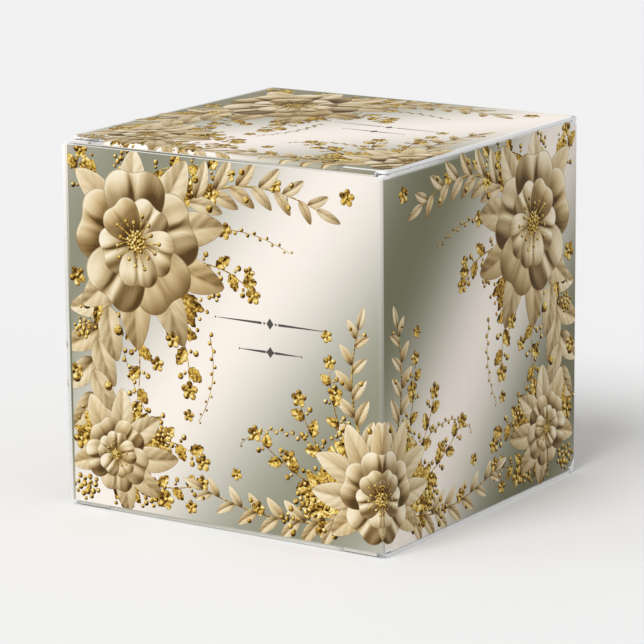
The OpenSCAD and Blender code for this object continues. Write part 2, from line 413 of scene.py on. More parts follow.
MATERIAL_OF = {
    "front_panel": PRINT, "right_panel": SIDE_PRINT, "back_panel": BACK_PRINT, "left_panel": SIDE_PRINT,
    "lid_panel": LID_PRINT, "base_panel": BASE_PRINT,
    "lid_tuck_flap": TUCK_TOP, "base_tuck_flap": TUCK_BASE, "glue_flap": BARE, "glue_line": GLUE,
    "lid_dust_flap_left": BARE, "lid_dust_flap_right": BARE,
    "base_dust_flap_left": BARE, "base_dust_flap_right": BARE,
}
for node_name, material in MATERIAL_OF.items():
    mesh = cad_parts[node_name].data
    mesh.materials.clear()
    mesh.materials.append(material)


# Faces and fold skins
class Face:
    """One face as a flat sheet, across and up in millimetres, whose ends bend round the folds beside it."""

    def __init__(self, corner, across, up, out, width, bends):
        self.corner, self.across, self.up, self.out = (np.array(v, float) for v in (corner, across, up, out))
        self.width, self.bends = width, bends

    def point(self, a, b, lift):
        """Places sheet points, lifted off the board, on the box. The sheet bends in a or in b."""
        along, straight = (a, b) if self.bends == "a" else (b, a)
        high = np.clip(along - (self.width - FOLD_R), 0, None) / FOLD_R
        low = np.clip(FOLD_R - along, 0, None) / FOLD_R
        quarter = math.pi / 2
        turn = np.clip(high, 0, quarter) - np.clip(low, 0, quarter)
        past = np.clip(high - quarter, 0, None) + np.clip(low - quarter, 0, None)
        along = np.clip(along, FOLD_R, self.width - FOLD_R) + (FOLD_R + lift) * np.sin(turn)
        out = (FOLD_R + lift) * np.cos(turn) - FOLD_R - past * FOLD_R
        a, b = (along, straight) if self.bends == "a" else (straight, along)
        return self.corner + np.outer(a, self.across) + np.outer(b, self.up) + np.outer(out, self.out)


X, Y, Z = np.eye(3)
FRONT = Face((-HALF, -HALF, 0), X, Z, -Y, SIDE, "a")
RIGHT = Face((HALF, -HALF, 0), Y, Z, X, SIDE, "a")
BACK = Face((HALF, HALF, 0), -X, Z, Y, SIDE, "a")
LEFT = Face((-HALF, HALF, 0), -Y, Z, -X, SIDE, "a")
LID = Face((-HALF, TUCK_FACE_Y, TOP), X, Y, Z, HALF - TUCK_FACE_Y, "b")
BASE = Face((-HALF, TUCK_FACE_Y, 0), X, Y, -Z, HALF - TUCK_FACE_Y, "b")
CREASE_HIGH = DUST_Z + FOLD_R
RIGHT_CREASES = Face((HALF, -HALF, TOP - CREASE_HIGH), Y, Z, X, 2 * CREASE_HIGH - TOP, "b")
LEFT_CREASES = Face((-HALF, HALF, TOP - CREASE_HIGH), -Y, Z, -X, 2 * CREASE_HIGH - TOP, "b")


def shell(name, points, sunk, faces, materials, attributes=()):
    """A closed thin piece: faces at points, the same turned over at sunk, and walls along its open edges.

    A second material lines the back and the walls of a piece whose two sides are smooth.
    """
    count = len(points)
    edges = dict.fromkeys((v, face[(i + 1) % len(face)]) for face in faces for i, v in enumerate(face))
    walls = [(b, a, a + count, b + count) for a, b in edges if (b, a) not in edges]
    polygons = [tuple(f) for f in faces] + [tuple(v + count for v in reversed(f)) for f in faces] + walls
    mesh = bpy.data.meshes.new(name)
    mesh.from_pydata((np.concatenate([points, sunk]) * MM).tolist(), [], polygons)
    for material in materials:
        mesh.materials.append(material)
    for key, values in (*attributes, ("rest", points)):
        layer = mesh.attributes.new(key, "FLOAT_VECTOR", "POINT")
        layer.data.foreach_set("vector", np.concatenate([values, values]).astype(np.float32).ravel())
    if len(materials) > 1:
        mesh.polygons.foreach_set("material_index", [0] * len(faces) + [1] * (len(faces) + len(walls)))
        mesh.polygons.foreach_set("use_smooth", [True] * (2 * len(faces)) + [False] * len(walls))
    mesh.update()
    piece = bpy.data.objects.new(name, mesh)
    bpy.context.scene.collection.objects.link(piece)
    return piece


def fold_line(face, low_end):
    """Distances along a sheet over one of its bent ends: a strip of the flat, then the whole quarter turn."""
    arc = FOLD_R * math.pi / 2
    line = np.concatenate([SKIN_FLAT, np.linspace(0, 1, SKIN_ROUND) * arc])
    return FOLD_R - line if low_end else face.width - FOLD_R + line


def pressed(past, bulge):
    """How far a fold that a closed lid presses stands off its round bead, past the fold's start."""
    turn = np.clip(past / FOLD_R, 0, math.pi / 2)
    squarer = (np.cos(turn) ** FOLD_SQUARENESS + np.sin(turn) ** FOLD_SQUARENESS) ** (-1 / FOLD_SQUARENESS)
    return FOLD_R * (squarer - 1) + bulge * np.sin(turn) ** 2


def fold_skin(name, face, low_end, ends, bodies, blend_from, blend_to, reach=SKIN_REACH, bulge=None):
    """The print over a fold whose two panels are separate solids.

    A fold that bulges is squarer than its bead, as board is where a closed lid presses on it.
    """
    start, stop = ends
    along = fold_line(face, low_end)
    if reach < SKIN_REACH:
        along = along[1:]
    across = np.linspace(start, stop, SKIN_ACROSS)
    a, b = np.meshgrid(across, along, indexing="ij")
    grid = np.arange(a.size).reshape(a.shape)
    corners = (grid[:-1, :-1], grid[1:, :-1], grid[1:, 1:], grid[:-1, 1:])
    faces = np.stack([corner.ravel() for corner in corners], 1).tolist()
    flip = (-1 if low_end else 1) * np.dot(np.cross(face.across, face.up), face.out)
    if flip < 0:
        faces = [f[::-1] for f in faces]
    past = FOLD_R - b.ravel() if low_end else b.ravel() - (face.width - FOLD_R)
    from_ends = 4 * np.minimum(a.ravel() - start, stop - a.ravel())
    rim = np.clip(np.minimum((past + reach) / SKIN_RIM_WIDTH, from_ends), 0, 1)
    lift = SKIN_RIM + (SKIN_LIFT - SKIN_RIM) * np.where(past > 0, 1, rim)
    if bulge is not None:
        lift = lift + pressed(past, bulge)
    points = face.point(a.ravel(), b.ravel(), lift)
    sunk = face.point(a.ravel(), b.ravel(), -SKIN_SUNK)
    skin = shell(name, points, sunk, faces, (PRINT_SKIN, BARE_SKIN))
    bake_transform(skin)
    return skin


def dust_ends(x):
    """Where a side panel's dust creases start and stop on its sheet."""
    return (DUST_FRONT + HALF, DUST_BACK + HALF) if x > 0 else (HALF - DUST_BACK, HALF - DUST_FRONT)


def dust_blend(side, end, x, z, up):
    """The two bodies of a dust crease, and the two points that the print bends between."""
    start = (x * (FOLD_AXIS + FOLD_R / 2), 0, z - up * FOLD_R / 2)
    return ("carton", f"{end}_dust_{side}"), start, (x * (FOLD_AXIS - FOLD_R), 0, z + up * FOLD_R)


def tuck_blend(z):
    """The two points that the print bends between over a tuck flap's crease."""
    return (0, TUCK_Y + TUCK_BLEND, z), (0, TUCK_Y, z)


def make_fold_skins():
    hinge_ends = (HALF - HINGE_END, HALF + HINGE_END)
    tuck_ends = (HALF - BEAD_END_X, HALF + BEAD_END_X)
    for end, face, z, up, bulge in (("lid", LID, LID_HINGE_Z, 1, None), ("base", BASE, FOLD_R, -1, 0.0)):
        hinge = (0, FOLD_AXIS, z), (0, FOLD_AXIS - HINGE_BLEND, z + up * HINGE_BLEND)
        fold_skin(end + "_hinge_fold", face, False, hinge_ends, ("carton", end), *hinge)
        bodies = (end, end + "_tuck")
        fold_skin(end + "_front_fold", face, True, tuck_ends, bodies, *tuck_blend(z), TUCK_SKIN_REACH, bulge)
    for side, face, x in (("left", LEFT_CREASES, -1), ("right", RIGHT_CREASES, 1)):
        for end, low_end, z, up in (("lid", False, DUST_Z, 1), ("base", True, TOP - DUST_Z, -1)):
            blend = dust_blend(side, end, x, z, up)
            fold_skin(f"{end}_dust_crease_{side}", face, low_end, dust_ends(x), *blend, bulge=DUST_BULGE)


make_fold_skins()


# Inks of the printed motif
def ink_inputs(s):
    """(painted light, nearness to the outline, the shape's own number), (along it, across it, unused)."""
    paint = s.split(s.add("Attribute", attribute_name="paint").outputs["Vector"])
    run = s.split(s.add("Attribute", attribute_name="run").outputs["Vector"])
    return paint, run


def petal_ink():
    """Ivory petals and leaves: fine veins, a warm shade, a pale lip and a thin gold contour."""
    s = Shader("petal_ink")
    (tone, rim, number), (along, across, _) = ink_inputs(s)
    lengthwise = s.mul_add(number, 7.3, s.times(along, 1.1))
    at = s.join(lengthwise, s.times(across, 6.5), s.times(number, 3.1))
    veins = s.noise(at, 1.6, 3.0, 0.6)
    wash = s.noise(at, 0.45, 2.0)
    tone = s.plus(tone, s.mul_add(veins, 0.18, -0.09))
    tone = s.plus(tone, s.mul_add(wash, 0.16, -0.05), clamp=True)
    ivory = s.ramp(tone, [
        (0.0, (82, 60, 32)), (0.14, (116, 92, 56)), (0.30, (150, 128, 90)), (0.46, (182, 161, 122)),
        (0.62, (208, 190, 153)), (0.78, (228, 214, 184)), (0.92, (238, 229, 209)), (1.0, (240, 235, 223)),
    ])
    warm = s.ramp(tone, [
        (0.0, (72, 50, 22)), (0.16, (108, 82, 42)), (0.34, (146, 119, 74)), (0.52, (181, 155, 109)),
        (0.70, (209, 187, 145)), (0.86, (230, 214, 178)), (1.0, (239, 229, 203)),
    ])
    warmth = s.smooth(s.calc("FRACT", s.times(number, 5.7)), 0.30, 0.85, 0.12, 0.85)
    colour = s.mix(warmth, ivory, warm)
    lip = s.times(s.smooth(rim, 0.86, 0.94), s.smooth(tone, 0.35, 0.8))
    colour = s.mix(s.times(lip, 0.42), colour, linear(237, 229, 203))
    colour = s.mix(s.smooth(rim, 0.955, 0.985, 0.0, 0.55), colour, linear(128, 98, 50))
    return s.finish(colour, s.mul_add(veins, 0.14, 0.40), s.bump(veins, 0.12, 0.02), Specular_IOR_Level=0.06)


def gold_ink():
    """Gold leaves, stems and beads: bright flakes on brown, as gold is painted in print."""
    s = Shader("gold_ink")
    (tone, rim, _), _ = ink_inputs(s)
    at = s.place("rest")
    flakes = s.add("TexVoronoi", {"Vector": at, "Scale": 3.4, "Randomness": 1.0}).outputs["Color"]
    flake = s.split(flakes)[0]
    grit = s.noise(at, 4.8, 4.0, 0.72)
    tone = s.plus(tone, s.mul_add(flake, 0.56, -0.30))
    tone = s.plus(tone, s.mul_add(grit, 0.9, -0.45), clamp=True)
    colour = s.ramp(tone, [
        (0.0, (48, 29, 6)), (0.16, (86, 58, 20)), (0.30, (130, 95, 36)), (0.45, (174, 137, 57)),
        (0.60, (205, 170, 78)), (0.76, (228, 199, 108)), (0.90, (238, 221, 152)), (1.0, (240, 233, 200)),
    ])
    colour = s.mix(s.smooth(rim, 0.90, 0.97, 0.0, 0.6), colour, linear(84, 56, 18))
    return s.finish(colour, s.mul_add(grit, 0.3, 0.30), s.bump(grit, 0.25, 0.03), Specular_IOR_Level=0.03)


def charcoal_ink():
    s = Shader("charcoal_ink")
    at = s.place("rest")
    grain = s.noise(at, 7.0, 3.0, 0.7)
    colour = s.mix(s.smooth(grain, 0.3, 0.7), linear(62, 60, 56), linear(88, 86, 80))
    return s.finish(colour, s.mul_add(grain, 0.2, 0.4), s.bump(grain, 0.1, 0.02), Specular_IOR_Level=0.12)


PETAL, GOLD, CHARCOAL = 0, 1, 2
INK_NAMES = ("petals", "gold", "rule")
INKS = [petal_ink(), gold_ink(), charcoal_ink()]
PAINT_LIGHT = np.array((-0.52, 0.58, 0.63))
FLAT_TONE = (0.56, 0.54, 0.56)
# How strongly the painted light shades each kind of shape. A leaf has one for each ink.
PETAL_GAIN, LEAF_GAINS, BEAD_GAIN, FLORET_GAIN = 1.02, (0.80, 0.66), 0.78, 0.75
GOLDEN_ANGLE, GOLDEN_SHARE = 2.39996, 0.6180339887
INK_LAYERS = 7


# Shapes of the motif, drawn on a flat sheet
class Drawing:
    """Shapes on a flat sheet of one face, each with its ink, its layer and the light painted on it."""

    def __init__(self):
        self.points, self.paint, self.run, self.layer, self.faces, self.inks = [], [], [], [], [], []
        self.shapes = 0

    def put(self, local, faces, ink, level, relief, at, turn, rim, along, across, deepen=None, gain=1.0):
        """Adds one shape in its own axes. relief(x, y) is the height that its painted light suggests."""
        step = 0.01
        x, y = local.T
        slope_x = (relief(x + step, y) - relief(x - step, y)) / (2 * step)
        slope_y = (relief(x, y + step) - relief(x, y - step)) / (2 * step)
        c, s = math.cos(turn), math.sin(turn)
        normal = np.stack([-(c * slope_x - s * slope_y), -(s * slope_x + c * slope_y), np.ones_like(x)], 1)
        normal /= np.linalg.norm(normal, axis=1)[:, None]
        tone = FLAT_TONE[ink] + gain * (normal @ PAINT_LIGHT - PAINT_LIGHT[2])
        if deepen is not None:
            tone = tone - deepen(x, y)
        placed = np.stack([c * x - s * y, s * x + c * y], 1) + at
        number = (self.shapes * GOLDEN_SHARE) % 1.0
        lift = INK_LIFT + level * INK_STEP + (self.shapes % INK_LAYERS) * INK_SHUFFLE
        first = sum(map(len, self.points))
        self.points.append(placed)
        self.paint.append(np.stack([tone, rim, np.full_like(tone, number)], 1))
        self.run.append(np.stack([along, across, np.zeros_like(tone)], 1))
        self.layer.append(np.full(len(x), lift))
        self.faces += [tuple(int(v) + first for v in f) for f in faces]
        self.inks += [ink] * len(faces)
        self.shapes += 1

    def disc(self, outline, centre, rings, at, turn, **more):
        """A shape filled by rings of its outline round a centre."""
        n = len(outline)
        shares = np.linspace(0, 1, rings + 1)[1:] ** 0.85
        local = np.concatenate([[centre]] + [centre + (outline - centre) * k for k in shares])
        rim = np.concatenate([[0]] + [np.full(n, k) for k in shares])
        faces = [(0, 1 + i, 1 + (i + 1) % n) for i in range(n)]
        for r in range(rings - 1):
            a, b = 1 + r * n, 1 + (r + 1) * n
            faces += [(a + i, b + i, b + (i + 1) % n, a + (i + 1) % n) for i in range(n)]
        self.put(local, faces, at=at, turn=turn, rim=rim, **more, **self.spans(local, outline))

    @staticmethod
    def spans(local, outline):
        length, half = np.ptp(outline[:, 0]), np.ptp(outline[:, 1]) / 2
        x = (local[:, 0] - outline[:, 0].min()) / length
        return {"along": x, "across": local[:, 1] / half / (0.25 + 0.75 * np.clip(x, 0, 1))}


def ring(n):
    return np.linspace(0, 2 * math.pi, n, endpoint=False)


def heading(angle):
    return np.array((math.cos(angle), math.sin(angle)))


def flat(x, y):
    return 0 * x


def petal(d, at, turn, length, width, level, shade, reach, side_shade):
    """A broad petal of a rosette, narrow at the heart and lightly notched at its lip.

    shade darkens it within reach of the heart, and side_shade along the sides that lie under its neighbours.
    """
    t = ring(44)
    notch = 0.09 * length
    x = length * (0.5 - 0.5 * np.cos(t)) - notch * np.exp(-(((t - math.pi) / 0.30) ** 2))
    y = width * np.sin(t) * (1 - 0.38 * np.cos(t))

    def relief(x, y):
        s, c = x / length, y / width
        cup = 0.34 * s - 0.40 * np.clip(s - 0.60, 0, None) ** 2 * 3
        fold = -0.045 * np.exp(-((c / 0.13) ** 2)) * (0.5 + s)
        ripple = 0.013 * np.sin(9 * c + 3 * turn) * s
        return length * (cup - 0.14 * np.abs(c) ** 2.2 * (0.3 + s) + fold + ripple)

    def deepen(x, y):
        s, c = np.hypot(x, y) / length, np.abs(y) / width
        heart = shade * np.exp(-((s / reach) ** 3))
        sides = side_shade * np.clip(c - 0.35, 0, None) * (1.35 - s)
        return heart + sides + 0.10 * np.exp(-((y / width / 0.05) ** 2)) * np.clip(0.9 - s, 0, 1)

    outline, centre = np.stack([x, y], 1), np.array((0.52 * length, 0.0))
    d.disc(
        outline, centre, 10, at, turn,
        ink=PETAL, level=level, relief=relief, deepen=deepen, gain=PETAL_GAIN,
    )


def leaf(d, at, turn, length, width, level, ink=PETAL, bend=0.0, fold=0.55, teeth=0.0):
    """A laurel leaf with a midrib: its two halves are painted as a shallow V."""

    def middle(x):
        return bend * length * ((x / length) ** 2 - x / length)

    t = ring(30)
    x = length * (0.5 - 0.5 * np.cos(t))
    y = width * np.sign(np.sin(t)) * np.abs(np.sin(t)) ** 1.25 * (1 + 0.22 * np.cos(t))
    y = y * (1 + teeth * np.sin(9 * t)) + middle(x)

    def relief(x, y):
        c = (y - middle(x)) / width
        veins = 0.05 * np.sin(26 * (x / length - 0.35 * np.abs(c)))
        valley = fold * np.sqrt(c * c + 0.004) - 0.35 * c * c + 0.25 * veins
        return width * valley - 0.5 * length * (x / length - 0.45) ** 2

    centre = np.array((0.5 * length, middle(0.5 * length)))
    crease = 0.24 if ink == PETAL else 0.10

    def deepen(x, y):
        s, c = x / length, (y - middle(x)) / width
        midrib = crease * np.exp(-((c / 0.11) ** 2)) * np.clip(1.05 - s, 0, 1)
        return 0.26 * np.exp(-((s / 0.20) ** 2)) + midrib

    rings = 7 if length > 5 else 5
    outline, gain = np.stack([x, y], 1), LEAF_GAINS[ink]
    d.disc(outline, centre, rings, at, turn, ink=ink, level=level, relief=relief, deepen=deepen, gain=gain)


def bead(d, at, radius, level, ink=GOLD):
    """A small round berry or bead with a highlight towards the painted light."""
    t = ring(14)

    def relief(x, y):
        return np.sqrt(np.clip(radius**2 * 1.08 - x * x - y * y, 0.02 * radius**2, None))

    outline = radius * np.stack([np.cos(t), np.sin(t)], 1)
    d.disc(outline, np.zeros(2), 3, at, 0.0, ink=ink, level=level, relief=relief, gain=BEAD_GAIN)


def floret(d, at, radius, turn, level):
    """A little flower of round lobes with a bead at its heart."""
    lobes = 5
    t = ring(lobes * 8)
    r = radius * (0.60 + 0.40 * np.abs(np.cos(lobes * t / 2)) ** 0.8)

    def relief(x, y):
        rho, phi = np.hypot(x, y) / radius, np.arctan2(y, x)
        cup = 0.34 * rho - 0.45 * np.clip(rho - 0.55, 0, None) ** 2
        return radius * (cup + 0.13 * rho * np.cos(lobes * phi))

    def deepen(x, y):
        return 0.2 * np.exp(-((np.hypot(x, y) / radius / 0.3) ** 2))

    outline, heart = np.stack([r * np.cos(t), r * np.sin(t)], 1), np.zeros(2)
    d.disc(outline, heart, 4, at, turn, ink=GOLD, level=level, relief=relief, deepen=deepen, gain=FLORET_GAIN)
    bead(d, at, radius * 0.24, level + 1)


def curve(p0, p1, p2, n):
    """Points and directions along a quadratic curve."""
    t = np.linspace(0, 1, n)[:, None]
    p0, p1, p2 = (np.array(p, float) for p in (p0, p1, p2))
    points = (1 - t) ** 2 * p0 + 2 * t * (1 - t) * p1 + t * t * p2
    way = 2 * (1 - t) * (p1 - p0) + 2 * t * (p2 - p1)
    return points, way / np.linalg.norm(way, axis=1)[:, None]


def stem(d, points, way, wide, thin, level, ink=GOLD):
    """A tapering stem along a curve, painted round."""
    n = len(points)
    widths = np.linspace(wide, thin, n)[:, None] / 2
    side = np.stack([-way[:, 1], way[:, 0]], 1)
    rows = [points + side * widths * share for share in (-1, -0.4, 0.4, 1)]
    local = np.stack(rows, 1).reshape(-1, 2)
    faces = [(4 * i + j, 4 * i + 4 + j, 4 * i + 5 + j, 4 * i + 1 + j) for i in range(n - 1) for j in range(3)]
    tilt = (side @ PAINT_LIGHT[:2])[:, None] * np.array([-0.5, -0.25, 0.25, 0.5]) * 0.9
    rim = np.tile([1.0, 0.4, 0.4, 1.0], n) * 0.93
    along, across = np.repeat(np.linspace(0, 1, n), 4), np.tile([-1.0, -0.4, 0.4, 1.0], n)
    d.put(local, faces, ink, level, flat, np.zeros(2), 0.0, rim, along, across)
    d.paint[-1][:, 0] = FLAT_TONE[ink] - 0.12 + tilt.ravel()


def rosette(d, at, size, turn):
    """A generic five-petalled rosette: two rings of broad petals, stamens and a heart of beads."""
    at = np.array(at, float)
    fifth = 2 * math.pi / 5
    order = (0, 1, 2, 1, 2)
    for i in (0, 2, 4, 1, 3):
        under = 0.34 - 0.17 * order[i]
        layer = 3 + order[i] * 0.3
        petal(d, at, turn + i * fifth, size, size * 0.46, layer, shade=0.46, reach=0.66, side_shade=under)
    for i in (1, 3, 0, 2, 4):
        under = 0.26 - 0.13 * order[i]
        a, layer = turn + (i + 0.5) * fifth, 4 + order[i] * 0.3
        petal(d, at, a, size * 0.62, size * 0.29, layer, shade=0.46, reach=0.42, side_shade=under)
    for i in range(15):
        a = turn + i * 2 * math.pi / 15 + 0.1
        reach = size * (0.26 + 0.05 * (i % 3))
        tip = at + heading(a) * reach
        middle = (at + tip) / 2 + np.array((way_off(i), -way_off(i))) * 0.02 * size
        points, way = curve(at, middle, tip, 6)
        stem(d, points, way, 0.020 * size, 0.014 * size, 5)
        bead(d, tip, size * 0.030, 5.3)
    for i in range(34):
        a, r = i * GOLDEN_ANGLE, size * 0.145 * math.sqrt((i + 0.5) / 34)
        bead(d, at + heading(a) * r, size * (0.033 - 0.008 * r / size / 0.145), 5.6)


def way_off(i):
    return (-1) ** i * (1 + i % 2)


def laurel(d, p0, p1, p2, pairs, first, last, width=0.2):
    """A branch with pairs of laurel leaves that grow smaller towards its tip, and berries between."""
    level, spread = 1, 0.72
    points, way = curve(p0, p1, p2, 6 * pairs + 1)
    stem(d, points, way, 0.34, 0.14, level - 0.9)
    for k in range(pairs):
        i = 6 * k + 3
        size = first + (last - first) * k / max(1, pairs - 1)
        a = math.atan2(way[i, 1], way[i, 0])
        for side in (-1, 1):
            base = points[i + (1 if side > 0 else -1)]
            leaf(d, base, a + side * spread, size, size * width, level + 0.25 * (side > 0), bend=0.16 * side)
        if k % 2 == 0:
            for side in (-1, 1):
                away = a + side * 1.25
                tip = points[i + 2] + heading(away) * size * 0.42
                thin, tw = curve(points[i + 2], (points[i + 2] + tip) / 2, tip, 4)
                stem(d, thin, tw, 0.12, 0.09, level - 0.7)
                bead(d, tip, 0.10 * size, level + 0.8)
    leaf(d, points[-1], math.atan2(way[-1, 1], way[-1, 0]), last * 1.15, last * width, level + 0.2)


def sprig(d, p0, p1, p2, leaves, size):
    """A gold sprig: a thin curved stem with toothed gold leaves in turn, beads and a floret at its tip."""
    level = 0.6
    points, way = curve(p0, p1, p2, 5 * leaves + 4)
    stem(d, points, way, 0.24, 0.10, level - 0.4)
    for k in range(leaves):
        i = 5 * k + 3
        a = math.atan2(way[i, 1], way[i, 0])
        side = 1 if k % 2 else -1
        leaf(
            d, points[i], a + side * 0.8, size * (1 - 0.07 * k), size * 0.27, level + 0.4,
            ink=GOLD, teeth=0.16, bend=0.1 * side, fold=0.8,
        )
        away = a - side * 0.95
        tip = points[i] + heading(away) * size * 0.55
        bead(d, tip, size * 0.14, level + 0.3)
        bead(d, (tip + points[i]) / 2 + way[i] * 0.1, size * 0.09, level + 0.2)
    floret(d, points[-1], size * 0.42, 0.3, level + 0.9)


def garland(d, p0, p1, p2, count, first, last):
    """A curved string of beads that grow smaller."""
    level = 0.4
    points, way = curve(p0, p1, p2, count)
    stem(d, points, way, 0.11, 0.08, level - 0.3)
    for k in range(count):
        side = np.array((-way[k, 1], way[k, 0])) * 0.28 * (-1) ** k
        bead(d, points[k] + side, first + (last - first) * k / count, level + 0.3)


def ornament(d, at, reach):
    """A plain printer's rule: two tapering lines, a lozenge and four dots."""
    at = np.array(at, float)
    for side in (-1, 1):
        points = at + np.stack([side * np.linspace(0.16, 1, 12) * reach, np.zeros(12)], 1)
        stem(d, points, np.tile((float(side), 0.0), (12, 1)), 0.34, 0.07, 0, ink=CHARCOAL)
        bead(d, at + np.array((side * reach * 0.11, 0)), 0.16, 0.3, ink=CHARCOAL)
        bead(d, at + np.array((side * reach * 1.05, 0)), 0.13, 0.3, ink=CHARCOAL)
    t = ring(4)
    lozenge = np.stack([0.55 * np.cos(t), 0.75 * np.sin(t)], 1)
    d.disc(lozenge, np.zeros(2), 2, at, 0.0, ink=CHARCOAL, level=0.4, relief=flat)


def gold_fan(d, at, turn, spread, count, length, level):
    """Toothed gold leaves that open like a fan, each with a bead past its tip."""
    at = np.array(at, float)
    for i in range(count):
        share = i / max(1, count - 1) - 0.5
        a = turn + spread * share
        size = length * (1 - 0.5 * share * share) * (1.0 if i % 2 else 0.84)
        leaf(
            d, at, a, size, size * 0.20, level + 0.35 * (i % 2),
            ink=GOLD, teeth=0.17, bend=0.14 * share, fold=0.85,
        )
        bead(d, at + heading(a) * (size + 0.45), length * 0.055, level + 0.6)


def berries(d, at, reach, count, radius, level):
    """A cluster of gold berries packed round a point."""
    at = np.array(at, float)
    for i in range(count):
        a, r = i * GOLDEN_ANGLE, reach * math.sqrt((i + 0.4) / count)
        place = at + np.array((math.cos(a), 0.86 * math.sin(a))) * r
        bead(d, place, radius * (1.15 - 0.45 * r / reach + 0.12 * (i % 3)), level + 0.3 * (1 - r / reach))


def leaf_ring(d, at, start, leaves, level):
    """Broad leaves behind a rosette: (angle, length, half width) for each."""
    at = np.array(at, float)
    for i, (turn, length, width) in enumerate(leaves):
        base = at + heading(turn) * start
        side = (-1) ** i
        leaf(d, base, turn + 0.06 * side, length, width, level + 0.3 * (i % 2), bend=0.13 * side, fold=0.46)


